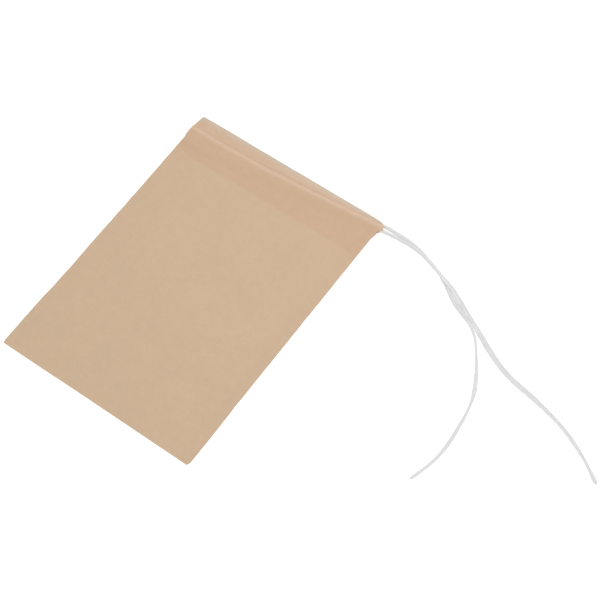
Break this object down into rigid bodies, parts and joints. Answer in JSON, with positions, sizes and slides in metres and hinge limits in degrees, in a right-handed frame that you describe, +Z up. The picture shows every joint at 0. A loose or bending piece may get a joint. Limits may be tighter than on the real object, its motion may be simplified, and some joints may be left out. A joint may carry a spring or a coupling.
{
  "type": "drawstring tea bag",
  "caption": "Flat, empty tea bag of unbleached filter paper, folded and sealed at the sides, with hemmed mouth and a white cotton drawstring leaving at one corner.",
  "frame": {"origin": "middle of the pouch's box, on the surface that its back panel lies on", "axes": "+X across the pouch, towards the corner where the string leaves; +Y from the bottom fold to the mouth; +Z up, out of the front panel"},
  "size_m": [0.1208, 0.0702, 0.0018],
  "materials": {
    "filter_paper": "matte, unbleached",
    "cotton_string": "matte, loosely spun"
  },
  "bodies": {
    "root": {"pouch": "filter_paper", "drawstring": "cotton_string"}
  },
  "joints": []
}
